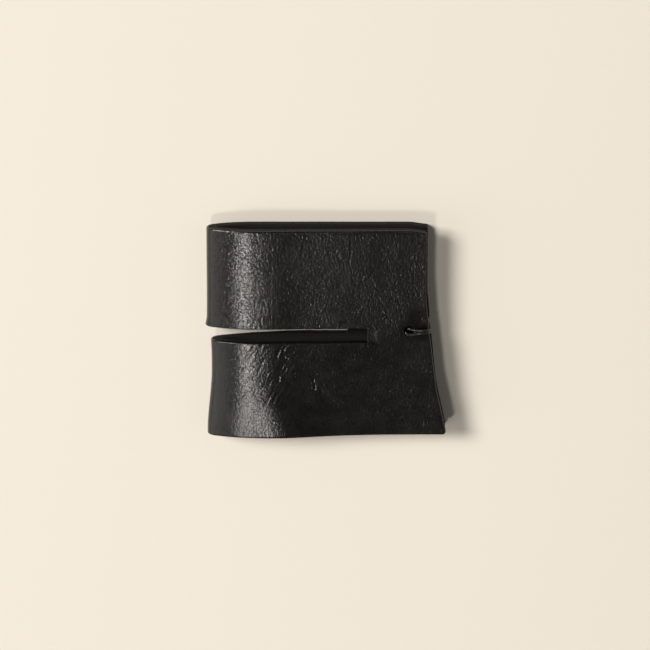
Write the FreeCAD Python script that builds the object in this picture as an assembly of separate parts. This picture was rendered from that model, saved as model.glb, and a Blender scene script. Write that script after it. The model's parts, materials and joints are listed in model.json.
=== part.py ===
# Leather ligature for a saxophone mouthpiece, lying flat.
#
# One strip of thick leather is folded into a flat loop.  The round bend is at -X, and the two cut ends lie one
# over the other at +X, where a thin cord laces them together.  A slot runs from each leaf round the bend, so the
# loop has an upper strap (+Y, the narrow end) and a lower strap (-Y, the wide end).
# The leather flexes along lines parallel to Y.  It is divided there, with a hair of clearance, into sections that
# turn about those lines, so that the flat loop can open until it is round.
import FreeCAD, Part
import math
import os

# ---- driving dimensions, in millimetres --------------------------------------------------------------------

THICKNESS = 2.0            # the leather
FLAT_HEIGHT = 7.0          # outside height of the flattened loop
BAND_LENGTH = 40.3         # along the mouthpiece, Y
BEND_RADIUS = 1.6          # the fold's midline at its tip
BEND_EASE_DEG = 12.0       # how far the leaves still turn after the tip

NARROW_WIDTH = 41.6        # flat width at the narrow end, from the bend to the cut edge
FLARE_START = 26.0         # Y below which the cut edge slants outwards
FLARE_RADIUS = 45.0
FLARE_DEG = 8.0
FRONT_SHORTFALL = 0.5      # the front leaf stops this far inside the back leaf
CORNER_RADIUS = 0.8

SLOT_LOW = 18.6            # the slot's two edges, in Y
SLOT_HIGH = 21.25
BACK_SLOT_END = 26.5       # how far the slot runs in each leaf
FRONT_SLOT_END = 30.2

# Flexing lines.  Their spacing lets the loop close exactly at rest, half open and fully open.
LEFT_SPAN = 14.93          # from the bend to the first line
MIDDLE_SPAN = 11.19
RIGHT_SPAN = 10.48         # from the second line to the laced ends
KERF = 0.10                # clearance between neighbouring sections

HOLE_X = 38.1
HOLE_Y = 20.7
HOLE_RADIUS = 1.1
CORD_RADIUS = 0.32
CORD_TURN_RADIUS = 0.6     # midline radius where the cord turns over an edge
CORD_DEPTH = 0.45          # from the leather's outer surface down to the cord's midline
GROOVE_DEPTH = 0.95        # the channel pressed into the leather under the two strands
GROOVE_WIDTH = 1.7
NOTCH_X = 41.65            # where the cord has pulled the cut edges in
STRAND_GAP = 0.75          # between the midlines of the two strands
CORD_EDGE_X = 42.1         # the strands' midline outside the cut edges
LEAD_X = 38.5              # the strands' midlines inside the hole
CROSSING_X = 37.75

KNOT_X = 40.55
KNOT_RADIUS = 0.62         # of each of its turns, to the cord's midline
KNOT_TURN_SPACING = 0.55

# ---- worked out from them ----------------------------------------------------------------------------------

MID_Z = FLAT_HEIGHT / 2
HALF_THICKNESS = THICKNESS / 2
FIRST_LINE = LEFT_SPAN
SECOND_LINE = FIRST_LINE + MIDDLE_SPAN
END_LINE = SECOND_LINE + RIGHT_SPAN
BEYOND = 50.0              # further than any part of the band reaches
MARGIN = 2.0

# The large arc that eases each leaf from the tip of the bend to lying flat.
EASE = math.radians(BEND_EASE_DEG)
EASE_RADIUS = (MID_Z - HALF_THICKNESS - BEND_RADIUS * math.cos(EASE)) / (1 - math.cos(EASE))
TIP_CENTRE_X = HALF_THICKNESS + BEND_RADIUS
EASE_CENTRE_X = TIP_CENTRE_X + (EASE_RADIUS - BEND_RADIUS) * math.sin(EASE)


def vec(x, y, z):
    return FreeCAD.Vector(x, y, z)


def box(x, y, z):
    """A box from three (low, high) pairs."""
    return Part.makeBox(x[1] - x[0], y[1] - y[0], z[1] - z[0], vec(x[0], y[0], z[0]))


def bend_edges(offset):
    """The loop's section at a distance outside its midline: from the back leaf's end, round the bend, to the
    front leaf's end."""
    tip = BEND_RADIUS + offset
    ease = EASE_RADIUS + offset
    low = HALF_THICKNESS - offset
    centre = vec(TIP_CENTRE_X, 0, MID_Z)

    def on_tip(angle):
        return centre + vec(-tip * math.cos(angle), 0, -tip * math.sin(angle))

    def on_ease(angle):
        x = EASE_CENTRE_X - ease * math.sin(angle)
        return vec(x, 0, low + ease * (1 - math.cos(angle)))

    def mirrored(point):
        return vec(point.x, 0, FLAT_HEIGHT - point.z)

    tip_end = on_tip(math.pi / 2 - EASE)
    lower = [on_ease(0), on_ease(EASE / 2), tip_end]
    upper = [mirrored(point) for point in reversed(lower)]
    return [
        Part.LineSegment(vec(BEYOND, 0, low), lower[0]).toShape(),
        Part.Arc(*lower).toShape(),
        Part.Arc(tip_end, on_tip(0), mirrored(tip_end)).toShape(),
        Part.Arc(*upper).toShape(),
        Part.LineSegment(upper[-1], vec(BEYOND, 0, FLAT_HEIGHT - low)).toShape(),
    ]


def folded_strip():
    """The whole strip, folded, before its ends are cut to shape."""
    outside = bend_edges(HALF_THICKNESS)
    inside = bend_edges(-HALF_THICKNESS)
    ends = [
        Part.LineSegment(vec(BEYOND, 0, 0), vec(BEYOND, 0, THICKNESS)).toShape(),
        Part.LineSegment(vec(BEYOND, 0, FLAT_HEIGHT), vec(BEYOND, 0, FLAT_HEIGHT - THICKNESS)).toShape(),
    ]
    outline = Part.Wire(Part.__sortEdges__(outside + inside + ends))
    return Part.Face(outline).extrude(vec(0, BAND_LENGTH, 0))


def leaf_outline(shortfall, z):
    """A prism with the plan shape of one leaf: its cut edge is straight, then flares outwards."""
    edge = NARROW_WIDTH - shortfall
    flare = math.radians(FLARE_DEG)
    centre_x = edge + FLARE_RADIUS

    def on_flare(angle):
        return vec(centre_x - FLARE_RADIUS * math.cos(angle), FLARE_START - FLARE_RADIUS * math.sin(angle), z[0])

    flare_end = on_flare(flare)
    corner = vec(flare_end.x + flare_end.y * math.tan(flare), 0, z[0])
    edges = [
        Part.LineSegment(vec(-MARGIN, BAND_LENGTH, z[0]), vec(edge, BAND_LENGTH, z[0])),
        Part.LineSegment(vec(edge, BAND_LENGTH, z[0]), vec(edge, FLARE_START, z[0])),
        Part.Arc(on_flare(0), on_flare(flare / 2), flare_end),
        Part.LineSegment(flare_end, corner),
        Part.LineSegment(corner, vec(-MARGIN, 0, z[0])),
        Part.LineSegment(vec(-MARGIN, 0, z[0]), vec(-MARGIN, BAND_LENGTH, z[0])),
    ]
    wire = Part.Wire([edge.toShape() for edge in edges])
    prism = Part.Face(wire).extrude(vec(0, 0, z[1] - z[0]))
    upright = [
        e for e in prism.Edges
        if len(e.Vertexes) == 2 and all(abs(v.X - corner.x) < 1e-6 and abs(v.Y) < 1e-6 for v in e.Vertexes)
    ]
    return prism.makeFillet(CORNER_RADIUS, upright)


def hole_and_groove(leaf_z, outer_z, inwards):
    """What is cut from one leaf for the lacing: the hole, the channel and the notch in the edge.  outer_z is the
    leaf's outer surface and inwards is +1 or -1, the way into the leather from it."""
    y = (HOLE_Y - GROOVE_WIDTH / 2, HOLE_Y + GROOVE_WIDTH / 2)
    floor = outer_z + inwards * GROOVE_DEPTH
    above = outer_z - inwards * MARGIN
    hole = Part.makeCylinder(HOLE_RADIUS, leaf_z[1] - leaf_z[0], vec(HOLE_X, HOLE_Y, leaf_z[0]))
    channel = box((HOLE_X, BEYOND), y, (min(floor, above), max(floor, above)))
    notch = box((NOTCH_X, BEYOND), y, leaf_z)
    return hole.fuse([channel, notch])


def make_leaves():
    """The back and front leaves, each with half of the bend, cut to shape, slotted and punched."""
    strip = folded_strip()
    back_z = (-MARGIN, MID_Z - KERF / 2)
    front_z = (MID_Z + KERF / 2, FLAT_HEIGHT + MARGIN)
    slot_y = (SLOT_LOW, SLOT_HIGH)
    back = strip.common(leaf_outline(0, back_z))
    back = back.cut(box((-MARGIN, BACK_SLOT_END), slot_y, back_z))
    back = back.cut(hole_and_groove(back_z, 0, 1))
    front = strip.common(leaf_outline(FRONT_SHORTFALL, front_z))
    front = front.cut(box((-MARGIN, FRONT_SLOT_END), slot_y, front_z))
    front = front.cut(hole_and_groove(front_z, FLAT_HEIGHT, -1))
    return back, front


def section(leaf, x_from, x_to):
    """The solids of one leaf between two flexing lines, from -Y to +Y."""
    room = box((x_from + KERF / 2, x_to - KERF / 2), (-MARGIN, BAND_LENGTH + MARGIN), (-MARGIN, FLAT_HEIGHT + MARGIN))
    return sorted(leaf.common(room).Solids, key=lambda solid: solid.CenterOfMass.y)


def make_leather():
    back, front = make_leaves()
    nodes = {}
    for side, leaf in (("back", back), ("front", front)):
        for place, x_from, x_to in (("bend", -MARGIN, FIRST_LINE), ("middle", FIRST_LINE, SECOND_LINE)):
            lower, upper = section(leaf, x_from, x_to)
            nodes[f"lower_strap_{side}_{place}"] = lower
            nodes[f"upper_strap_{side}_{place}"] = upper
        nodes[f"{side}_panel"], = section(leaf, SECOND_LINE, END_LINE)
        nodes[f"{side}_laced_end"], = section(leaf, END_LINE, BEYOND)
    return nodes


def rounded_path(points, radius):
    """Straight runs through the points, joined by tangent arcs."""
    edges = []
    start = points[0]
    for before, here, after in zip(points, points[1:], points[2:]):
        back = (before - here).normalize()
        onwards = (after - here).normalize()
        half_angle = back.getAngle(onwards) / 2
        reach = radius / math.tan(half_angle)
        arc_start = here + back * reach
        arc_end = here + onwards * reach
        to_centre = (back + onwards).normalize()
        arc_middle = here + to_centre * (radius / math.sin(half_angle) - radius)
        edges.append(Part.LineSegment(start, arc_start).toShape())
        edges.append(Part.Arc(arc_start, arc_middle, arc_end).toShape())
        start = arc_end
    edges.append(Part.LineSegment(start, points[-1]).toShape())
    return Part.Wire(edges)


def make_cord():
    """The lacing: two turns through both holes and round both cut edges, ending in the knot between the leaves."""
    top = FLAT_HEIGHT - CORD_DEPTH
    bottom = CORD_DEPTH
    first_y = HOLE_Y - STRAND_GAP / 2
    second_y = HOLE_Y + STRAND_GAP / 2
    knot_end = KNOT_X - KNOT_RADIUS
    path = rounded_path([
        vec(knot_end, first_y, MID_Z),
        vec(LEAD_X, first_y, MID_Z),
        vec(LEAD_X, first_y, top),
        vec(CORD_EDGE_X, first_y, top),
        vec(CORD_EDGE_X, first_y, bottom),
        vec(CROSSING_X, first_y, bottom),
        vec(CROSSING_X, second_y, top),
        vec(CORD_EDGE_X, second_y, top),
        vec(CORD_EDGE_X, second_y, bottom),
        vec(LEAD_X, second_y, bottom),
        vec(LEAD_X, second_y, MID_Z),
        vec(knot_end, second_y, MID_Z),
    ], CORD_TURN_RADIUS)
    circle = Part.Wire(Part.makeCircle(CORD_RADIUS, vec(knot_end, first_y, MID_Z), vec(-1, 0, 0)))
    cord = path.makePipeShell([circle], True, False)
    expected = math.pi * CORD_RADIUS ** 2 * path.Length
    print(f"lacing cord: {path.Length:.1f} mm long outside its knot, volume {cord.Volume / expected:.3f} of expected")
    return cord


def make_knot():
    """The knot that joins the cord's two ends: three turns of cord drawn up tight about a common middle."""
    centre = vec(KNOT_X, HOLE_Y, MID_Z)
    turns = [
        Part.makeTorus(KNOT_RADIUS, CORD_RADIUS, centre + vec(0, y, 0), vec(0, 1, 0))
        for y in (-KNOT_TURN_SPACING, 0, KNOT_TURN_SPACING)
    ]
    half_core = KNOT_TURN_SPACING
    core = Part.makeCylinder(KNOT_RADIUS, 2 * half_core, centre - vec(0, half_core, 0), vec(0, 1, 0))
    return core.fuse(turns).removeSplitter().Solids[0]


def main():
    nodes = make_leather()
    nodes["lacing_cord"] = make_cord()
    nodes["lacing_knot"] = make_knot()

    # The origin is the middle of the band's footprint, on the surface it lies on.
    whole = Part.makeCompound(list(nodes.values())).BoundBox
    origin = vec((whole.XMin + whole.XMax) / 2, BAND_LENGTH / 2, 0)
    os.makedirs("parts", exist_ok=True)
    for name, shape in nodes.items():
        shape.translate(origin * -1)
        assert shape.isValid() and shape.Volume > 0, name
        shape.exportStep(f"parts/{name}.step")
        b = shape.BoundBox
        print(f"{name:28s} X {b.XMin:7.2f} {b.XMax:7.2f}  Y {b.YMin:7.2f} {b.YMax:7.2f}  Z {b.ZMin:5.2f} {b.ZMax:5.2f}"
              f"  {shape.Volume:8.2f} mm3")
    print(f"band origin in local coordinates: {origin.x:.4f}, {origin.y:.4f}")


main()
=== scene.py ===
"""Looks for the leather saxophone ligature: the folded strip of leather, its lacing, and a plain studio."""

import json
import math

import bpy
import numpy as np
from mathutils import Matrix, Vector, noise


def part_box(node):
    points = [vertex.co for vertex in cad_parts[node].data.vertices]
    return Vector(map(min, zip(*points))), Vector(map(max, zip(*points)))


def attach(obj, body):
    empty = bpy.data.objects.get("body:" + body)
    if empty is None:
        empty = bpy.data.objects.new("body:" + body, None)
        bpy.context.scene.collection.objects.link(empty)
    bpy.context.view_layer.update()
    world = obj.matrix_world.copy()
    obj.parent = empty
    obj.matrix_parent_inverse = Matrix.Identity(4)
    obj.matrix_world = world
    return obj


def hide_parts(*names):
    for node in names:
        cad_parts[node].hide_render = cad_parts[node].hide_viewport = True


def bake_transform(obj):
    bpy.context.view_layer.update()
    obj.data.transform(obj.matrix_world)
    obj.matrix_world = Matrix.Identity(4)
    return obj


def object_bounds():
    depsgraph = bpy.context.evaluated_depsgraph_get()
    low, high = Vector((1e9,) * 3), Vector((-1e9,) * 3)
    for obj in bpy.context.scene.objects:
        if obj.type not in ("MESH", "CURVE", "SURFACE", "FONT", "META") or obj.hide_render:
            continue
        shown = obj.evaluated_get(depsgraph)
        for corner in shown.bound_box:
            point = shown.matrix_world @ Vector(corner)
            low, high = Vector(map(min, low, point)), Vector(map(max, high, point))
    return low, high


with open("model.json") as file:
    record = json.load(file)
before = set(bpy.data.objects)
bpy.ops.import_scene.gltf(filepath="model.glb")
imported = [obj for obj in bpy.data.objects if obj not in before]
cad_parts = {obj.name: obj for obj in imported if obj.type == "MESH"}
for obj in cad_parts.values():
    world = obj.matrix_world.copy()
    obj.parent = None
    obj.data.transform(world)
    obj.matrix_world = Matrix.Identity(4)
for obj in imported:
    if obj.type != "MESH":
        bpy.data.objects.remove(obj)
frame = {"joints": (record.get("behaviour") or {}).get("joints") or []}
cad_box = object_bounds()

# ---- sizes, in millimetres -----------------------------------------------------------------------
# The leather is worked out in strip coordinates: s runs along the strip's midline from the middle
# of the bend, negative into the back leaf and positive into the front leaf.  y runs along the band
# from its wide end, and t runs through the thickness from -1, the inside, to +1, the outside.

MM = 0.001
LOW, HIGH = (np.array(corner) / MM for corner in cad_box)
LEFT = LOW[0]
WIDE_END = LOW[1]
FLAT_HEIGHT = HIGH[2] - LOW[2]
BAND_LENGTH = HIGH[1] - LOW[1]
MID_Z = FLAT_HEIGHT / 2


def node_box(name):
    """A CAD node's corners, in millimetres from the bend (x), the wide end (y) and the floor (z)."""
    low, high = (np.array(corner) / MM - (LEFT, WIDE_END, 0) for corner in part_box(name))
    return low, high


def joint_x(name):
    """Where a flexing line lies, in millimetres from the bend."""
    joint = next(j for j in frame["joints"] if j["name"] == name)
    return joint["pos_m"][0] / MM - LEFT


THICKNESS = node_box("back_panel")[1][2]
HALF = THICKNESS / 2
FIRST_LINE = joint_x("band_open")
SECOND_LINE = joint_x("back_right_flex")
END_LINE = joint_x("back_end_flex")

# The bend's midline is a tight arc at the tip, then an easier one that runs out into each leaf.
BEND_RADIUS = 1.2
BEND_EASE = math.radians(22.5)
EASE_RADIUS = (MID_Z - HALF - BEND_RADIUS * math.cos(BEND_EASE)) / (1 - math.cos(BEND_EASE))
EASE_END_X = HALF + BEND_RADIUS + (EASE_RADIUS - BEND_RADIUS) * math.sin(BEND_EASE)
TIP_LENGTH = BEND_RADIUS * (math.pi / 2 - BEND_EASE)
BEND_LENGTH = TIP_LENGTH + EASE_RADIUS * BEND_EASE

SLOT_LOW = node_box("lower_strap_back_middle")[1][1]
SLOT_HIGH = node_box("upper_strap_back_middle")[0][1]
BACK_SLOT_END = 26.2
FRONT_SLOT_END = 29.9

# The cut edges that are laced: where they are at the narrow end, and how they slant out towards
# the wide end in two turns, each with its y, slope and softness.
EDGE_X = 41.1
EDGE_TURNS = ((28.5, 0.10, 2.0), (10.0, 0.11, 1.0))
FRONT_SHORTFALL = 0.3      # how far short of the back leaf the front one stops, at the narrow end
WIDE_CORNER_RADIUS = 0.8
NARROW_CORNER_RADIUS = 0.35
FRONT_NOTCH = 0.12         # how deep the lacing has cut into each leaf's edge
BACK_NOTCH = 0.75
NOTCH_HALF_WIDTH = 1.1
WRINKLE_SEED = 12
WRINKLE_COUNT = 80

CORD_BOX = node_box("lacing_cord")
HOLE = (37.65, (CORD_BOX[0][1] + CORD_BOX[1][1]) / 2)
HOLE_RADIUS = 0.95
HOLE_PATCH = 2.1           # half the side of the square of mesh around the hole

BEVEL = 0.30               # the worn rounding of the leather's arrises
FLOOR_GAP = 0.02           # how far the leather's underside stays above the floor

# Where one piece of the leather ends and the next begins: midway between flexing lines.
BEND_SEAM = 7.5
STRAP_SEAM = (FIRST_LINE + SECOND_LINE) / 2
END_SEAM = 32.0
SEAMS = np.array([BEND_SEAM, STRAP_SEAM, END_SEAM])

# How far each side of its flexing line the leather bends, when the band opens.
BEND_ZONE = 1.6
STRAP_ZONE = 2.8
END_ZONE = 2.2

# The size of the mesh's faces: on each leaf, and round the bend, in the slot's rows, round the hole
# and between the hole and the cut edge.
FRONT_STEP = 0.19
BACK_STEP = 0.55
BEND_STEP = 0.16
SLOT_STEP = 0.25
HOLE_STEP = 0.28
TAIL_STEP = 0.3
FINE = (0.0, 0.04, 0.10, 0.18, 0.30, 0.42, 0.54, 0.66, 0.80)      # stops beside a cut edge
WALL_STEPS = 5             # rows of faces down a cut edge
FINE_BEND_END = 3.0        # how far along the strip the bend's finer mesh goes

GRAIN_UV = "strip"         # flat coordinates for the grain, in millimetres
INSIDE_GRAIN_OFFSET = 200.0
RUB_AND_HIGHLIGHT = "rub_and_highlight"              # how rubbed the leather is, with a painted highlight along its arrises, from 0 to 1
RUB_AND_HIGHLIGHT_WIDTH = 0.6           # how far in from a cut edge it is rubbed and painted lighter

# The order of the leather's materials.
FACE, INSIDE, CUT_EDGE = range(3)


def smooth(x, start, end):
    """Rises smoothly from 0 at the start to 1 at the end."""
    t = np.clip((x - start) / (end - start), 0, 1)
    return t * t * (3 - 2 * t)


def hump(x, middle, half_width):
    """A rounded hump, 1 at its middle."""
    return np.exp(-((x - middle) / half_width) ** 2)


# ---- the leather's shape -------------------------------------------------------------------------

def fold(s):
    """The folded midline: x, distance from the middle plane, and the outward normal's two parts."""
    along = np.abs(s)
    tip = along / BEND_RADIUS
    ease = (BEND_LENGTH - along) / EASE_RADIUS
    in_tip = along <= TIP_LENGTH
    in_ease = ~in_tip & (along <= BEND_LENGTH)
    x = np.select(
        [in_tip, in_ease],
        [HALF + BEND_RADIUS - BEND_RADIUS * np.cos(tip), EASE_END_X - EASE_RADIUS * np.sin(ease)],
        EASE_END_X + along - BEND_LENGTH,
    )
    depth = np.select(
        [in_tip, in_ease],
        [BEND_RADIUS * np.sin(tip), MID_Z - HALF - EASE_RADIUS * (1 - np.cos(ease))],
        MID_Z - HALF,
    )
    normal_x = np.select([in_tip, in_ease], [-np.cos(tip), -np.sin(ease)], 0.0)
    normal_z = np.select([in_tip, in_ease], [np.sin(tip), np.cos(ease)], 1.0)
    return x, depth, normal_x, normal_z


def edge_x(y, front):
    """The cut edge's x at each y."""
    edge = EDGE_X - (FRONT_SHORTFALL * smooth(y, 4, 26) if front else 0)
    for start, slope, softness in EDGE_TURNS:
        past = np.clip(start - y, 0, None)
        edge = edge + slope * past ** 2 / (past + softness)
    edge = edge - (FRONT_NOTCH if front else BACK_NOTCH) * hump(y, HOLE[1], NOTCH_HALF_WIDTH)
    return edge - rounding(y, WIDE_CORNER_RADIUS) - rounding(BAND_LENGTH - y, NARROW_CORNER_RADIUS)


def rounding(past, radius):
    """How far a rounded corner stands back from a square one."""
    return radius - np.sqrt(np.clip(radius ** 2 - np.clip(radius - past, 0, None) ** 2, 0, None))


def bend_shift(y):
    """How far the bend leans in or out along its length: each strap has crept a little."""
    upper = -0.30 * hump(y, SLOT_HIGH - 0.3, 1.3)
    lower = 0.85 * smooth(y, 0.0, 13.0) - 0.12 * hump(y, SLOT_LOW, 2.0)
    return np.where(y > (SLOT_LOW + SLOT_HIGH) / 2, upper, lower)


def sag(x, y):
    """How far the front leaf has settled, towards its laced side."""
    return 0.3 * smooth(x, 20, 42) + 0.35 * (1 - smooth(y, 0, BAND_LENGTH)) * smooth(x, 8, 34)


def bulge(x, y):
    """The front leaf stands a little proud beside the bend, more and farther along at the wide end."""
    wide = 1 - smooth(y, 0, 12)
    return (0.26 + 0.38 * wide) * hump(x, 10.8 + 3.4 * wide, 6.0)


def end_slant(x, y):
    """The wide end slants in towards the laced side, and the narrow end is drawn in at its corner."""
    wide = 0.42 * smooth(x, 9, 34) * (1 - smooth(y, 0, 12))
    return wide - 0.42 * smooth(x, 37.5, 41.4) * smooth(y, 35, BAND_LENGTH)


def slot_creep(x, y):
    """The back leaf's lower strap has crept towards the upper one, most at the slot's end."""
    beside = hump(np.minimum(y, SLOT_LOW), SLOT_LOW, 3.0) * (1 - smooth(y, SLOT_LOW, SLOT_HIGH))
    return 0.55 * beside * smooth(x, 3, 18) * (1 - smooth(x, 27, 31))


def pinch(x, y):
    """The channel that the lacing has pulled into a leaf, with a shallower dip beside it."""
    channel = 0.55 * hump(y, HOLE[1], 1.05) * smooth(x, HOLE[0] - 1.6, HOLE[0] + 1.4)
    dip = 0.22 * hump(y, HOLE[1] + 2.3, 1.6) * smooth(x, 37, 40)
    return channel + dip


def waves(s, y):
    """Slow unevenness of hand-worked leather, less than a tenth of a millimetre."""
    out = np.empty(len(s))
    for i, (a, b) in enumerate(zip(s, y)):
        slow = noise.noise((a * 0.12, b * 0.12, 3.0))
        quick = noise.noise((a * 0.35, b * 0.35, 9.0))
        out[i] = 0.05 * slow + 0.014 * quick
    return out


def wrinkles():
    """Fine wrinkles where the lower strap has been flexed: start, end, width and depth of each."""
    luck = np.random.default_rng(WRINKLE_SEED)
    out = []
    for _ in range(WRINKLE_COUNT):
        start = np.array((luck.uniform(5.5, 15.5), luck.uniform(6.0, 17.0)))
        angle = math.radians(luck.normal(52, 14))
        length = luck.uniform(1.2, 4.2)
        finish = start + length * np.array((math.cos(angle), math.sin(angle)))
        out.append((start, finish, luck.uniform(0.14, 0.20), luck.uniform(0.009, 0.023)))
    return out


# The front leaf's creases and knife marks: start, end, width and depth of each.
CREASES = [
    ((18.0, 38.7), (17.8, 35.6), 0.18, 0.014),
    ((26.8, 39.2), (26.6, 34.5), 0.18, 0.016),
    ((22.7, 39.0), (25.3, 33.2), 0.20, 0.010),
    ((19.7, 11.8), (20.2, 9.4), 0.14, 0.045),
    ((21.0, 9.9), (21.5, 8.8), 0.14, 0.045),
    # The knife ran on past the slot's end along its lower edge, and left a nick by its upper one.
    ((29.6, SLOT_LOW - 0.06), (31.9, SLOT_LOW - 0.06), 0.09, 0.110),
    ((30.4, SLOT_HIGH + 0.5), (31.1, SLOT_HIGH + 0.2), 0.13, 0.080),
    # A line runs along the narrow end.
    ((24.0, BAND_LENGTH - 0.62), (40.2, BAND_LENGTH - 0.62), 0.11, 0.045),
] + wrinkles()


def tongue(x, y):
    """The patch just past the slot's end, 1 inside it and 0 outside."""
    along = smooth(x, FRONT_SLOT_END, 30.5) * (1 - smooth(x, 31.2, 32.1))
    across_it = smooth(y, SLOT_LOW, SLOT_LOW + 0.4) * (1 - smooth(y, SLOT_HIGH - 0.5, SLOT_HIGH + 0.1))
    return along * across_it


def creases(x, y):
    """How deep the outside is marked."""
    # Past its end the slot was only pressed in, not cut out.
    total = 0.03 * tongue(x, y)
    for start, end, width, depth in CREASES:
        a, b = np.array(start), np.array(end)
        length = np.linalg.norm(b - a)
        way = (b - a) / length
        along = (x - a[0]) * way[0] + (y - a[1]) * way[1]
        # No crease is quite straight.
        bow = min(0.35, 0.05 * length) * np.sin(along / length * math.pi)
        off = (x - a[0]) * way[1] - (y - a[1]) * way[0] + bow
        ends = smooth(along, -0.4, 0.8) * (1 - smooth(along, length - 0.8, length + 0.4))
        # Beside each furrow the leather is pushed up into a low ridge.
        furrow = np.exp(-(off / width) ** 2) - 0.5 * np.exp(-((off - 2 * width) / width) ** 2)
        total += depth * ends * furrow
    return total


def place(s, y, t):
    """Points of the leather, in metres in the part's frame."""
    x, depth, normal_x, normal_z = fold(s)
    front = s > 0
    side = np.where(front, 1.0, -1.0)
    lean = bend_shift(y) * (1 - smooth(x, 2, 15))
    settle = np.where(front, sag(x, y) - bulge(x, y), 0.0)
    # The lacing pulls the front leaf down and the back leaf up, not quite as far.
    pull = np.where(front, pinch(x, y), -0.75 * pinch(x, y))
    # The back leaf is more even, because it lies on the table.
    uneven = waves(s, y) * np.where(front, 1.0, 0.4)
    marks = np.where((t > 0) & front, creases(x, y), 0.0)
    out = t * HALF
    px = x + lean + normal_x * (out + uneven - marks)
    rise = depth + normal_z * (out + uneven * smooth(x, 2, 10) - marks)
    pz = np.maximum(MID_Z + side * rise - settle - pull, FLOOR_GAP)
    py = y + end_slant(x, y) + np.where(front, 0.0, slot_creep(x, y))
    return np.column_stack([px + LEFT, py + WIDE_END, pz]) * MM


# ---- the leather's mesh --------------------------------------------------------------------------

def stops(start, end, step, fine_start=False, fine_end=False):
    """Grid stops from start to end, finer beside a cut edge."""
    head = [start + f for f in FINE] if fine_start else [start]
    tail = [end - f for f in reversed(FINE)] if fine_end else [end]
    count = max(1, round((tail[0] - head[-1]) / step))
    between = np.linspace(head[-1], tail[0], count + 1)[1:-1]
    return head + list(between) + tail


def joined(*lists):
    """Lists of stops put end to end: each starts with the stop that the one before it ends with."""
    out = list(lists[0])
    for more in lists[1:]:
        out += more[1:]
    return np.array(out)


PATCH_X = (HOLE[0] - HOLE_PATCH, HOLE[0] + HOLE_PATCH)
PATCH_Y = (SLOT_LOW, HOLE[1] + (HOLE[1] - SLOT_LOW))


def columns(front):
    """How far along the strip one leaf's columns are, up to the far side of the hole's patch."""
    step = FRONT_STEP if front else BACK_STEP
    slot_end = FRONT_SLOT_END if front else BACK_SLOT_END
    return joined(
        stops(0, FINE_BEND_END, BEND_STEP),
        stops(FINE_BEND_END, BEND_SEAM, step),
        stops(BEND_SEAM, STRAP_SEAM, step),
        stops(STRAP_SEAM, slot_end, step),
        stops(slot_end, END_SEAM, step, fine_start=True),
        stops(END_SEAM, PATCH_X[0], step),
        stops(PATCH_X[0], PATCH_X[1], HOLE_STEP),
    )


ROWS = joined(
    stops(0, SLOT_LOW, FRONT_STEP, fine_start=True, fine_end=True),
    stops(SLOT_LOW, SLOT_HIGH, SLOT_STEP, fine_start=True, fine_end=True),
    stops(SLOT_HIGH, PATCH_Y[1], HOLE_STEP, fine_start=True),
    stops(PATCH_Y[1], BAND_LENGTH, FRONT_STEP, fine_end=True),
)
# The columns between the hole's patch and the cut edge, laid out for a usual width and kept as
# shares of it.
TAIL_WIDTH = 1.9
TAIL = np.array(stops(0, TAIL_WIDTH, TAIL_STEP, fine_end=True)) / TAIL_WIDTH
# The rings of mesh round the hole, as shares of the way in from the square's edge to the circle.
RING_SHARES = (0.16, 0.36, 0.6, 0.76, 0.87, 0.95, 1.0)


def leaf_grid(front):
    """The flat mesh of one leaf: (s, y) of its vertices, and its quads."""
    sign = 1 if front else -1
    cols = columns(front)
    slot_end = FRONT_SLOT_END if front else BACK_SLOT_END
    tail_width = edge_x(ROWS, front) - PATCH_X[1]
    body = np.repeat(cols[:, None], len(ROWS), 1)
    tail = PATCH_X[1] + TAIL[1:, None] * tail_width[None, :]
    xs = np.vstack([body, tail])
    ys = np.repeat(ROWS[None, :], len(xs), 0)
    ids = np.arange(xs.size).reshape(xs.shape)
    points = np.column_stack([sign * xs.ravel(), ys.ravel()])
    middle_x = (xs[:-1, :-1] + xs[1:, 1:]) / 2
    middle_y = (ys[:-1, :-1] + ys[1:, 1:]) / 2
    in_slot = (middle_x < slot_end) & (middle_y > SLOT_LOW) & (middle_y < SLOT_HIGH)
    in_patch = (
        (middle_x > PATCH_X[0]) & (middle_x < PATCH_X[1])
        & (middle_y > PATCH_Y[0]) & (middle_y < PATCH_Y[1])
    )
    keep = ~(in_slot | in_patch)
    quads = np.stack([ids[:-1, :-1], ids[1:, :-1], ids[1:, 1:], ids[:-1, 1:]], -1)[keep]
    # The patch round the hole: rings from the square's edge in to the circle.
    cells = np.argwhere(in_patch)
    (i0, j0), (i1, j1) = cells.min(0), cells.max(0) + 1
    rim = (
        [ids[i, j0] for i in range(i0, i1)] + [ids[i1, j] for j in range(j0, j1)]
        + [ids[i, j1] for i in range(i1, i0, -1)] + [ids[i0, j] for j in range(j1, j0, -1)]
    )
    outer = np.column_stack([xs.ravel()[rim], ys.ravel()[rim]])
    ways = outer - HOLE
    circle = HOLE + HOLE_RADIUS * ways / np.linalg.norm(ways, axis=1)[:, None]
    rings = [np.array(rim)]
    for share in RING_SHARES:
        ring = outer + share * (circle - outer)
        rings.append(np.arange(len(ring)) + len(points))
        points = np.vstack([points, np.column_stack([sign * ring[:, 0], ring[:, 1]])])
    for a, b in zip(rings, rings[1:]):
        quads = np.vstack([quads, np.stack([a, np.roll(a, -1), np.roll(b, -1), b], -1)])
    if not front:
        quads = quads[:, ::-1]
    return points, quads


def strip_grid():
    """Both leaves, joined at the middle of the bend."""
    front_points, front_quads = leaf_grid(True)
    back_points, back_quads = leaf_grid(False)
    points = np.vstack([front_points, back_points])
    quads = np.vstack([front_quads, back_quads + len(front_points)])
    rows = len(ROWS)
    merge = np.arange(len(points))
    merge[len(front_points):len(front_points) + rows] = np.arange(rows)
    quads = merge[quads]
    used, quads = np.unique(quads, return_inverse=True)
    return points[used], quads.reshape(-1, 4)


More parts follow.
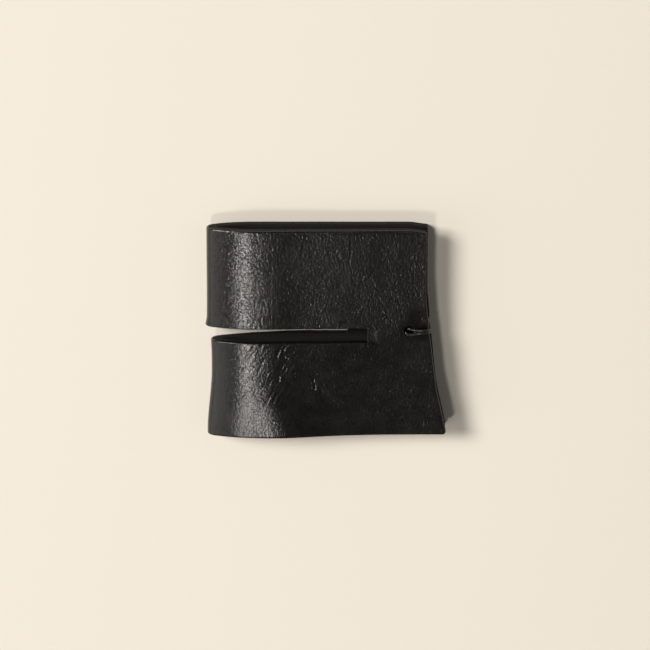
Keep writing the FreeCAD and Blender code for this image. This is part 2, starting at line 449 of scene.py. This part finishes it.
def edge_distance(points):
    """How far each point of the flat strip is from the nearest cut edge."""
    s, y = points[:, 0], points[:, 1]
    x = np.abs(s)
    front = s > 0
    slot_end = np.where(front, FRONT_SLOT_END, BACK_SLOT_END)
    to_end = np.where(front, edge_x(y, True), edge_x(y, False)) - x
    beside = np.maximum(SLOT_LOW - y, y - SLOT_HIGH)
    # The slot, its end most of all, and the hole are crisper than the outer edges, so they count
    # as farther away.
    past = np.where(x > slot_end, 3, 1) * (x - slot_end)
    to_side = np.maximum(beside, past)
    to_corner = np.hypot(np.maximum(beside, 0), np.maximum(past, 0))
    to_slot = 2 * np.where((beside < 0) | (past < 0), to_side, to_corner)
    to_hole = 1.5 * (np.hypot(x - HOLE[0], y - HOLE[1]) - HOLE_RADIUS)
    return np.clip(np.minimum.reduce([y, BAND_LENGTH - y, to_end, to_slot, to_hole]), 0, None)


def leather_mesh(name, points, quads, materials):
    """A closed piece of leather from part of the flat strip."""
    used, quads = np.unique(quads, return_inverse=True)
    quads = quads.reshape(-1, 4)
    points = points[used]
    count = len(points)
    distance = edge_distance(points)
    inset = np.clip(BEVEL - distance, 0, None)
    half = 1 - (BEVEL - np.sqrt(BEVEL ** 2 - inset ** 2)) / HALF
    s, y = points[:, 0], points[:, 1]

    # The border is made of the edges that only one quad uses.
    edges = np.vstack([quads[:, [k, (k + 1) % 4]] for k in range(4)])
    _, first, uses = np.unique(np.sort(edges, 1), axis=0, return_index=True, return_counts=True)
    border = edges[first[uses == 1]]
    rim = np.unique(border)
    on_rim = np.full(count, -1)
    on_rim[rim] = np.arange(len(rim))

    # The outside, the inside, and then the rings down the piece's edges.
    layers = [place(s, y, half), place(s, y, -half)]
    rings = [np.arange(count)]
    depths = [np.zeros(count), np.full(count, THICKNESS)]
    for k in range(1, WALL_STEPS):
        share = 1 - 2 * k / WALL_STEPS
        rings.append(on_rim + 2 * count + (k - 1) * len(rim))
        layers.append(place(s[rim], y[rim], half[rim] * share))
        depths.append(np.full(len(rim), (1 - share) * HALF))
    rings.append(np.arange(count) + count)
    one, other = border.T
    walls = [
        np.stack([upper[other], upper[one], lower[one], lower[other]], -1)
        for upper, lower in zip(rings, rings[1:])
    ]
    faces = np.vstack([quads, quads[:, ::-1] + count] + walls)
    kinds = np.repeat([FACE, INSIDE, CUT_EDGE], [len(quads), len(quads), len(border) * WALL_STEPS])

    mesh = bpy.data.meshes.new(name)
    mesh.from_pydata(np.vstack(layers).tolist(), [], faces.tolist())
    mesh.polygons.foreach_set("use_smooth", np.ones(len(faces), bool))
    mesh.polygons.foreach_set("material_index", kinds.astype(np.int32))
    for material in materials:
        mesh.materials.append(material)

    # Flat coordinates in millimetres for the grain.  Down a cut edge they run on past the face.
    flat = np.vstack([points, points] + [points[rim]] * (WALL_STEPS - 1))
    depth = np.concatenate(depths)
    corner_kinds = np.repeat(kinds, 4)
    corners = faces.ravel()
    uv = flat[corners]
    uv[corner_kinds == INSIDE] += (0, INSIDE_GRAIN_OFFSET)
    uv[corner_kinds == CUT_EDGE] += depth[corners][corner_kinds == CUT_EDGE][:, None]
    mesh.uv_layers.new(name=GRAIN_UV).data.foreach_set("uv", uv.ravel())
    # Paler towards the cut edges: rubbed there, and with a painted highlight along the rounded arrises. The
    # patch past the slot's end is made paler too.
    rub_and_highlight_share = np.maximum(1 - smooth(distance, 0, RUB_AND_HIGHLIGHT_WIDTH), 0.4 * tongue(np.abs(s), y))
    rub_and_highlight = np.concatenate([rub_and_highlight_share, rub_and_highlight_share, np.ones(len(rim) * (WALL_STEPS - 1))])
    mesh.attributes.new(RUB_AND_HIGHLIGHT, "FLOAT", "POINT").data.foreach_set("value", rub_and_highlight.astype(np.float32))
    mesh.update()
    # A piece's own cut ends, where it meets the next piece, aren't rounded over.
    at_seam = np.isclose(np.abs(s)[:, None], SEAMS, atol=1e-6).any(1)
    base = np.concatenate([np.arange(count)] * 2 + [rim] * (WALL_STEPS - 1))
    outline = {tuple(sorted(pair)) for pair in border.tolist()}
    seam_ends = set(rim[at_seam[rim] & (distance[rim] < 1e-6)].tolist())
    for edge in mesh.edges:
        a, b = edge.vertices
        along_seam = at_seam[base[a]] and at_seam[base[b]] and max(a, b) < 2 * count
        down_corner = base[a] == base[b] and base[a] in seam_ends
        on_outline = tuple(sorted((base[a], base[b]))) in outline
        edge.use_edge_sharp = bool(down_corner or (along_seam and on_outline))
    piece = bpy.data.objects.new(name, mesh)
    bpy.context.collection.objects.link(piece)
    return piece


def across(line_x, half_width, bodies):
    """A blend over a flexing line of a leaf: its two bodies, and where it starts and ends."""
    line = line_x + LEFT
    return bodies, ((line - half_width) * MM, 0, 0), ((line + half_width) * MM, 0, 0)


def make_leather(materials):
    """The ten pieces of the strip, each spanning one flexing line; they take the place of the CAD nodes."""
    points, quads = strip_grid()
    s, y = points[quads].mean(1).T
    upper = y > SLOT_HIGH
    lower = y < SLOT_LOW
    everywhere = y > 0
    bend_start = (0, 0, (MID_Z - BEND_ZONE) * MM)
    bend_end = (0, 0, (MID_Z + BEND_ZONE) * MM)
    round_bend = (("back_bend", "front_bend"), bend_start, bend_end)
    back_first = across(FIRST_LINE, STRAP_ZONE, ("back_bend", "back_middle"))
    front_first = across(FIRST_LINE, STRAP_ZONE, ("front_bend", "front_middle"))
    back_second = across(SECOND_LINE, STRAP_ZONE, ("back_middle", "back_right"))
    front_second = across(SECOND_LINE, STRAP_ZONE, ("front_middle", "front_right"))
    back_third = across(END_LINE, END_ZONE, ("back_right", "back_end"))
    front_third = across(END_LINE, END_ZONE, ("front_right", "front_end"))
    # Each piece: its name, rows, reach along the strip, blend, and the CAD nodes it replaces.
    plan = []
    for strap, rows in (("upper", upper), ("lower", lower)):
        plan += [
            (f"{strap}_strap_bend", rows, (-BEND_SEAM, BEND_SEAM), round_bend,
             (f"{strap}_strap_back_bend", f"{strap}_strap_front_bend")),
            (f"{strap}_strap_back", rows, (-STRAP_SEAM, -BEND_SEAM), back_first,
             (f"{strap}_strap_back_middle",)),
            (f"{strap}_strap_front", rows, (BEND_SEAM, STRAP_SEAM), front_first,
             (f"{strap}_strap_front_middle",)),
        ]
    plan += [
        ("back_leaf", everywhere, (-END_SEAM, -STRAP_SEAM), back_second, ("back_panel",)),
        ("front_leaf", everywhere, (STRAP_SEAM, END_SEAM), front_second, ("front_panel",)),
        ("back_leaf_end", everywhere, (-math.inf, -END_SEAM), back_third, ("back_laced_end",)),
        ("front_leaf_end", everywhere, (END_SEAM, math.inf), front_third, ("front_laced_end",)),
    ]
    for name, rows, (start, end), (bodies, blend_start, blend_end), nodes in plan:
        own = quads[rows & (s > start) & (s < end)]
        piece = leather_mesh(f"leather_{name}", points, own, materials)
        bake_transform(piece)
        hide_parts(*nodes)


# ---- the lacing ----------------------------------------------------------------------------------

CORD_RADIUS = 0.31
KNOT_CORD_RADIUS = 0.27    # pulled tight
PLIES = 3
PLY_DEPTH = 0.045          # how strongly the plies show, as a share of the cord's radius
PLY_PITCH = 1.5            # from one ply to the next, along the cord
CORD_STEP = 0.09           # mesh size
CORD_SIDES = 20
SPAN_STEPS = 12            # places worked out between two points of a path


def smooth_path(points, steps):
    """A smooth curve through the points, as evenly spaced places along it, and its length."""
    points = np.array(points, float)
    padded = np.vstack([2 * points[0] - points[1], points, 2 * points[-1] - points[-2]])
    out = []
    for a, b, c, d in zip(padded, padded[1:], padded[2:], padded[3:]):
        # Centripetal spacing keeps tight corners round.
        ta = 0.0
        tb = ta + math.sqrt(np.linalg.norm(b - a))
        tc = tb + math.sqrt(np.linalg.norm(c - b))
        td = tc + math.sqrt(np.linalg.norm(d - c))
        for t in np.linspace(tb, tc, SPAN_STEPS, endpoint=False):
            p = (tb - t) / (tb - ta) * a + (t - ta) / (tb - ta) * b
            q = (tc - t) / (tc - tb) * b + (t - tb) / (tc - tb) * c
            r = (td - t) / (td - tc) * c + (t - tc) / (td - tc) * d
            early = (tc - t) / (tc - ta) * p + (t - ta) / (tc - ta) * q
            late = (td - t) / (td - tb) * q + (t - tb) / (td - tb) * r
            out.append((tc - t) / (tc - tb) * early + (t - tb) / (tc - tb) * late)
    out.append(points[-1])
    line = np.array(out)
    lengths = np.concatenate([[0], np.cumsum(np.linalg.norm(np.diff(line, axis=0), axis=1))])
    at = np.linspace(0, lengths[-1], steps)
    return np.column_stack([np.interp(at, lengths, line[:, k]) for k in range(3)]), lengths[-1]


def cord_mesh(name, points, material, radius):
    """A laid cord along a path, in local millimetres: its plies show as a shallow twist."""
    line, length = smooth_path(points, round(length_of(points) / CORD_STEP))
    ways = np.gradient(line, axis=0)
    ways /= np.linalg.norm(ways, axis=1)[:, None]
    # The first side may point any way across the cord.  Each of the others follows the one before.
    side = np.cross(ways[0], (0.3, 0.2, 0.93))
    sides = []
    for way in ways:
        side = side - way * side.dot(way)
        side /= np.linalg.norm(side)
        sides.append(side)
    sides = np.array(sides)
    ups = np.cross(ways, sides)
    turn = np.linspace(0, 2 * math.pi, CORD_SIDES, endpoint=False)
    along = np.linspace(0, length, len(line))
    lobes = np.cos(PLIES * (turn[None, :] - 2 * math.pi * along[:, None] / PLY_PITCH / PLIES))
    ends = np.minimum(along, length - along)
    taper = np.sqrt(np.clip(1 - (1 - np.clip(ends / radius, 0, 1)) ** 2, 0.02, 1))
    radii = radius * (1 - PLY_DEPTH + PLY_DEPTH * lobes) * taper[:, None]
    sideways = np.cos(turn)[None, :, None] * sides[:, None, :]
    upwards = np.sin(turn)[None, :, None] * ups[:, None, :]
    tube = line[:, None, :] + radii[..., None] * (sideways + upwards)
    count = len(line)
    ids = np.arange(count * CORD_SIDES).reshape(count, CORD_SIDES)
    beside = np.roll(ids, -1, 1)
    quads = np.stack([ids[:-1], beside[:-1], beside[1:], ids[1:]], -1).reshape(-1, 4)
    faces = quads.tolist() + [ids[0][::-1].tolist(), ids[-1].tolist()]
    mesh = bpy.data.meshes.new(name)
    vertices = (tube.reshape(-1, 3) + (LEFT, WIDE_END, 0)) * MM
    mesh.from_pydata(vertices.tolist(), [], faces)
    mesh.polygons.foreach_set("use_smooth", np.ones(len(faces), bool))
    layer = mesh.uv_layers.new(name=GRAIN_UV)
    u = np.repeat(along, CORD_SIDES)
    v = np.tile(turn * radius, count)
    for polygon in mesh.polygons:
        for k, corner in zip(polygon.vertices, polygon.loop_indices):
            layer.data[corner].uv = (u[k], v[k])
    mesh.materials.append(material)
    mesh.update()
    piece = bpy.data.objects.new(name, mesh)
    bpy.context.collection.objects.link(piece)
    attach(piece, "back_end")
    return piece


def length_of(points):
    """The length of the straight path through the points."""
    return float(np.linalg.norm(np.diff(np.array(points, float), axis=0), axis=1).sum())


def leaf_top(x, y):
    """The height of the front leaf's upper surface at a place, in local millimetres."""
    s = np.array([x - (EASE_END_X - BEND_LENGTH)])
    return place(s, np.array([float(y)]), np.ones(1))[0][2] / MM


def make_lacing(material):
    y0 = HOLE[1]
    top = leaf_top(HOLE[0] + 1.6, y0)
    top_edge = leaf_top(40.6, y0)
    low = CORD_RADIUS + 0.12
    # From the knot up through the front hole, over the edges, under the back leaf and up through
    # its hole; then the same way again, and back to the knot.
    cord = cord_mesh("lacing_strands", [
        (39.9, y0 - 0.30, MID_Z - 0.4),
        (38.6, y0 - 0.38, MID_Z - 0.2),
        (37.55, y0 - 0.05, MID_Z + 0.7),
        (37.15, y0 - 0.05, top - 0.75),
        (37.12, y0 - 0.28, top - 0.12),
        (37.42, y0 - 0.60, top + 0.10),
        (38.15, y0 - 0.72, top + 0.12),
        (39.3, y0 - 0.58, top + 0.14),
        (40.3, y0 - 0.44, top_edge + 0.18),
        (41.1, y0 - 0.42, top_edge - 0.02),
        (41.58, y0 - 0.46, top_edge - 0.70),
        (41.44, y0 - 0.38, MID_Z - 0.6),
        (41.32, y0 - 0.36, low + 0.75),
        (40.8, y0 - 0.38, low),
        (38.9, y0 - 0.40, low),
        (37.9, y0 - 0.20, low + 0.3),
        (37.6, y0 + 0.20, MID_Z - 0.6),
        (37.5, y0 + 0.42, top - 1.2),
        (37.5, y0 + 0.42, top - 0.35),
        (37.85, y0 + 0.38, top + 0.02),
        (38.6, y0 + 0.20, top + 0.10),
        (39.7, y0 + 0.10, top + 0.28),
        (40.6, y0 + 0.12, top_edge + 0.30),
        (41.25, y0 + 0.10, top_edge + 0.05),
        (41.60, y0 + 0.14, top_edge - 0.65),
        (41.46, y0 + 0.26, MID_Z - 0.6),
        (41.32, y0 + 0.34, low + 0.75),
        (40.8, y0 + 0.36, low),
        (39.0, y0 + 0.38, low),
        (38.1, y0 + 0.40, low + 0.5),
        (38.0, y0 + 0.42, MID_Z - 0.8),
        (38.8, y0 + 0.40, MID_Z - 0.5),
        (39.9, y0 + 0.30, MID_Z - 0.5),
    ], material, CORD_RADIUS)
    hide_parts("lacing_cord")
    # The knot is an overhand one, between the leaves.
    centre = np.array([40.05, y0, MID_Z - 0.45])
    angles = np.linspace(0.25, 2 * math.pi - 0.25, 18)
    knot_line = np.column_stack([
        0.50 * (np.sin(angles) + 1.2 * np.sin(2 * angles)),
        0.50 * (np.cos(angles) - 1.2 * np.cos(2 * angles)),
        -0.42 * np.sin(3 * angles),
    ])
    tail_in = [(-0.3, -1.5, -0.25), (0.15, -1.1, 0.1)]
    tail_out = [(-0.1, 1.2, 0.05), (0.35, 1.7, -0.2)]
    knot_points = [tuple(centre + p) for p in tail_in + knot_line.tolist() + tail_out]
    knot = cord_mesh("lacing_knot_tied", knot_points, material, KNOT_CORD_RADIUS)
    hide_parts("lacing_knot")


# ---- materials -----------------------------------------------------------------------------------

class Shader:
    """A material's nodes, made and joined in one call each."""

    def __init__(self, name):
        self.material = bpy.data.materials.new(name)
        self.material.use_nodes = True
        self.tree = self.material.node_tree
        self.surface = self.tree.nodes["Principled BSDF"]

    def add(self, kind, output=0, settings=None, **inputs):
        """Adds a node.  An input is a value or another node's output.  Returns one of its outputs."""
        made = self.tree.nodes.new(kind)
        for key, value in (settings or {}).items():
            setattr(made, key, value)
        for key, value in inputs.items():
            self.feed(made, key, value)
        return made.outputs[output]

    def feed(self, made, key, value):
        """Feeds an input, given by its name, or by i and its number."""
        by_number = key[0] == "i" and key[1:].isdigit()
        self.link_or_set(made.inputs[int(key[1:]) if by_number else key.replace("_", " ")], value)

    def link_or_set(self, socket, value):
        if isinstance(value, bpy.types.NodeSocket):
            self.tree.links.new(value, socket)
        else:
            socket.default_value = value

    def math(self, operation, a, b):
        return self.add("ShaderNodeMath", settings={"operation": operation}, i0=a, i1=b)

    def spread(self, value, low, high, to_low=0.0, to_high=1.0):
        """Maps a range smoothly on to another."""
        return self.add(
            "ShaderNodeMapRange", settings={"interpolation_type": "SMOOTHSTEP"},
            i0=value, i1=low, i2=high, i3=to_low, i4=to_high,
        )

    def noise(self, where, scale, detail, roughness, output=0):
        return self.add(
            "ShaderNodeTexNoise", output,
            Vector=where, Scale=scale, Detail=detail, Roughness=roughness,
        )

    def cells(self, where, scale):
        """The distance to the nearest of scattered points."""
        return self.add("ShaderNodeTexVoronoi", settings={"feature": "F1"}, Vector=where, Scale=scale)

    def mix(self, share, a, b):
        """Mixes two colours."""
        made = self.tree.nodes.new("ShaderNodeMix")
        made.data_type = "RGBA"
        self.link_or_set(made.inputs[0], share)
        self.link_or_set(made.inputs[6], a)
        self.link_or_set(made.inputs[7], b)
        return made.outputs[2]

    def stretched(self, where, x, y, turn=0.0):
        """Scaled and turned coordinates."""
        return self.add("ShaderNodeMapping", Vector=where, Scale=(x, y, 1), Rotation=(0, 0, turn))

    def warped(self, where, scale, amount):
        """Coordinates pushed about by noise, so that nothing lines up."""
        push = self.noise(where, scale, 2.0, 0.5, output=1)
        centred = self.vectors("SUBTRACT", i0=push, i1=(0.5, 0.5, 0.5))
        scaled = self.vectors("SCALE", i0=centred, Scale=amount)
        return self.vectors("ADD", i0=where, i1=scaled)

    def vectors(self, operation, **inputs):
        return self.add("ShaderNodeVectorMath", settings={"operation": operation}, **inputs)

    def flat_mm(self):
        return self.add("ShaderNodeUVMap", settings={"uv_map": GRAIN_UV})

    def bump(self, height, millimetres):
        return self.add("ShaderNodeBump", Height=height, Distance=millimetres * MM, Strength=1.0)


def face_leather():
    """The smooth side: glazed black full-grain leather, finely pebbled and lightly creased."""
    m = Shader("black_leather_face")
    flat = m.flat_mm()
    along_strip = m.add("ShaderNodeSeparateXYZ", 0, Vector=flat)
    along_band = m.add("ShaderNodeSeparateXYZ", 1, Vector=flat)
    pressed = m.spread(along_strip, 8.0, 14.0)
    upper = m.spread(along_band, 17.0, 22.0)
    round_grain = m.math("POWER", m.cells(m.warped(flat, 1.3, 0.6), 2.7), 2.0)
    # On the lower strap the grain has been drawn out aslant.
    aslant = m.warped(m.stretched(flat, 1.25, 0.8, 0.6), 1.3, 0.5)
    drawn_grain = m.math("POWER", m.cells(aslant, 2.6), 2.0)
    lower = m.spread(along_band, 17.0, 22.0, 0.62, 0.0)
    pebble = m.math("ADD", m.math("MULTIPLY", round_grain, upper), m.math("MULTIPLY", drawn_grain, lower))
    small = m.math("POWER", m.cells(m.warped(flat, 2.4, 0.25), 4.6), 2.0)
    fine = m.noise(flat, 7.0, 2.0, 0.5)
    rub_and_highlight = m.add("ShaderNodeAttribute", 2, settings={"attribute_name": RUB_AND_HIGHLIGHT})

    height = m.math("MULTIPLY", pebble, -1.0)
    height = m.math("ADD", height, m.math("MULTIPLY", small, -0.42))
    height = m.math("ADD", height, m.math("MULTIPLY", fine, 0.03))
    # The grain is flatter away from the bend.
    height = m.math("MULTIPLY", height, m.spread(along_strip, 8.0, 14.0, 1.0, 0.72))
    m.feed(m.surface, "Normal", m.bump(height, 0.029))

    tone = m.noise(flat, 0.22, 4.0, 0.6)
    black = m.mix(m.spread(tone, 0.35, 0.65), (0.0040, 0.0034, 0.0027, 1), (0.0080, 0.0068, 0.0053, 1))
    pores = m.mix(m.spread(pebble, 0.1, 0.5), black, (0.0015, 0.0015, 0.0015, 1))
    # Paler and rougher towards the cut edges, where the leather is rubbed; the paler colour is also a
    # painted highlight along the arrises, and it lies on the patch past the slot's end as well.
    rubbed_and_highlit = m.math("MULTIPLY", rub_and_highlight, m.spread(m.noise(flat, 1.6, 4.0, 0.7), 0.35, 0.75))
    m.feed(m.surface, "Base Color", m.mix(rubbed_and_highlit, pores, (0.013, 0.012, 0.0105, 1)))
    rough = m.spread(m.noise(flat, 0.5, 4.0, 0.6), 0.3, 0.7, 0.15, 0.19)
    # The glaze is a little duller on the upper half away from the bend.  Beside the bend it is duller
    # on the lower strap, and at the wide end most of all.
    rough = m.math("ADD", rough, m.math("MULTIPLY", m.math("MULTIPLY", pressed, upper), 0.05))
    beside_bend = m.spread(along_strip, 8.0, 14.0, 1.0, 0.0)
    at_wide_end = m.spread(along_band, 2.0, 11.0, 0.04, 0.0)
    on_lower_strap = m.spread(along_band, 17.0, 22.0, 0.035, 0.0)
    handled = m.math("ADD", at_wide_end, on_lower_strap)
    rough = m.math("ADD", rough, m.math("MULTIPLY", handled, beside_bend))
    m.feed(m.surface, "Roughness", m.math("ADD", rough, m.math("MULTIPLY", rubbed_and_highlit, 0.18)))
    m.feed(m.surface, "Specular IOR Level", 0.5)
    return m.material


def flesh_leather():
    """The inside: matt, with the nap of split fibres."""
    m = Shader("black_leather_flesh")
    flat = m.flat_mm()
    fibres = m.noise(m.stretched(m.warped(flat, 0.8, 0.6), 1.6, 5.0, 0.4), 1.0, 5.0, 0.7)
    nap = m.noise(flat, 9.0, 4.0, 0.7)
    height = m.math("ADD", m.math("MULTIPLY", fibres, 0.6), m.math("MULTIPLY", nap, 0.4))
    m.feed(m.surface, "Normal", m.bump(height, 0.06))
    black = m.mix(m.spread(fibres, 0.3, 0.7), (0.003, 0.0029, 0.0027, 1), (0.008, 0.0075, 0.0070, 1))
    m.feed(m.surface, "Base Color", black)
    m.feed(m.surface, "Roughness", m.spread(nap, 0.3, 0.7, 0.74, 0.90))
    m.feed(m.surface, "Specular IOR Level", 0.3)
    m.feed(m.surface, "Sheen Weight", 0.05)
    return m.material


def edge_leather():
    """The cut edges: dyed and rubbed, a little paler than the face, with fibres along them."""
    m = Shader("black_leather_edge")
    flat = m.flat_mm()
    fibres = m.noise(m.stretched(flat, 1.0, 2.0), 2.6, 5.0, 0.75)
    grain = m.noise(flat, 8.0, 4.0, 0.6)
    height = m.math("ADD", m.math("MULTIPLY", fibres, 0.7), m.math("MULTIPLY", grain, 0.3))
    m.feed(m.surface, "Normal", m.bump(height, 0.05))
    black = m.mix(m.spread(fibres, 0.3, 0.7), (0.003, 0.0026, 0.0021, 1), (0.014, 0.0120, 0.0098, 1))
    m.feed(m.surface, "Base Color", black)
    m.feed(m.surface, "Roughness", m.spread(grain, 0.3, 0.7, 0.50, 0.68))
    m.feed(m.surface, "Specular IOR Level", 0.06)
    return m.material


def cord_material():
    """Thin waxed black cord."""
    m = Shader("black_waxed_cord")
    flat = m.flat_mm()
    fibres = m.noise(m.stretched(flat, 1.2, 9.0, 0.6), 2.0, 4.0, 0.6)
    m.feed(m.surface, "Normal", m.bump(fibres, 0.02))
    black = m.mix(m.spread(fibres, 0.3, 0.7), (0.006, 0.006, 0.006, 1), (0.016, 0.015, 0.015, 1))
    m.feed(m.surface, "Base Color", black)
    m.feed(m.surface, "Roughness", m.spread(fibres, 0.3, 0.7, 0.24, 0.36))
    m.feed(m.surface, "Specular IOR Level", 0.6)
    return m.material


# ---- the studio ----------------------------------------------------------------------------------

TILT = math.radians(16.5)  # how far the camera leans from straight overhead
LENS = 300.0
SENSOR = 36.0
VIEW_WIDTH = 0.1212        # what the picture spans at the object, in metres
AIM = (-0.25, 2.0, FLAT_HEIGHT)
HALF_FLOOR = 1.5           # in metres


def make_camera():
    data = bpy.data.cameras.new("camera")
    data.lens = LENS
    data.sensor_width = SENSOR
    data.clip_start = 0.01
    camera = bpy.data.objects.new("camera", data)
    bpy.context.collection.objects.link(camera)
    distance = VIEW_WIDTH * LENS / SENSOR
    target = Vector(AIM) * MM
    camera.rotation_euler = (-TILT, 0, 0)
    camera.location = target + distance * Vector((0, math.sin(TILT), math.cos(TILT)))
    bpy.context.scene.camera = camera


def make_light(name, way, distance, size, power, colour):
    """A soft light, in metres and watts, that shines on the object from the way given."""
    data = bpy.data.lights.new(name, "AREA")
    data.shape = "RECTANGLE"
    data.size, data.size_y = size
    data.energy = power
    data.color = colour
    light = bpy.data.objects.new(name, data)
    bpy.context.collection.objects.link(light)
    way = Vector(way).normalized()
    light.location = way * distance
    light.rotation_euler = way.to_track_quat("Z", "Y").to_euler()


def make_floor():
    """A plain pale cloth-covered table top."""
    mesh = bpy.data.meshes.new("floor")
    corners = [(x * HALF_FLOOR, y * HALF_FLOOR, 0) for x, y in ((-1, -1), (1, -1), (1, 1), (-1, 1))]
    mesh.from_pydata(corners, [], [(0, 1, 2, 3)])
    floor = bpy.data.objects.new("floor", mesh)
    bpy.context.collection.objects.link(floor)
    m = Shader("pale_cloth")
    m.feed(m.surface, "Base Color", (0.83, 0.775, 0.69, 1))
    m.feed(m.surface, "Roughness", 0.95)
    m.feed(m.surface, "Specular IOR Level", 0.1)
    mesh.materials.append(m.material)


def make_world():
    world = bpy.data.worlds.new("studio")
    world.use_nodes = True
    background = world.node_tree.nodes["Background"]
    background.inputs["Color"].default_value = (1.0, 0.97, 0.93, 1)
    background.inputs["Strength"].default_value = 0.09
    bpy.context.scene.world = world
    bpy.context.scene.view_settings.view_transform = "Standard"


make_camera()
make_world()
make_floor()
make_light("key", (-0.66, 0.30, 0.75), 2.4, (0.84, 0.84), 57.0, (1.0, 0.975, 0.93))
make_light("overhead", (-0.255, -0.284, 0.924), 1.2, (0.08, 0.16), 2.9, (1.0, 0.96, 0.91))
make_light("left_panel", (-0.87, -0.26, 0.45), 2.4, (1.20, 2.20), 11.5, (1.0, 0.96, 0.91))
make_light("right_fill", (0.80, 0.05, 0.60), 1.2, (1.20, 1.00), 0.9, (1.0, 0.98, 0.95))
make_leather([face_leather(), flesh_leather(), edge_leather()])
make_lacing(cord_material())
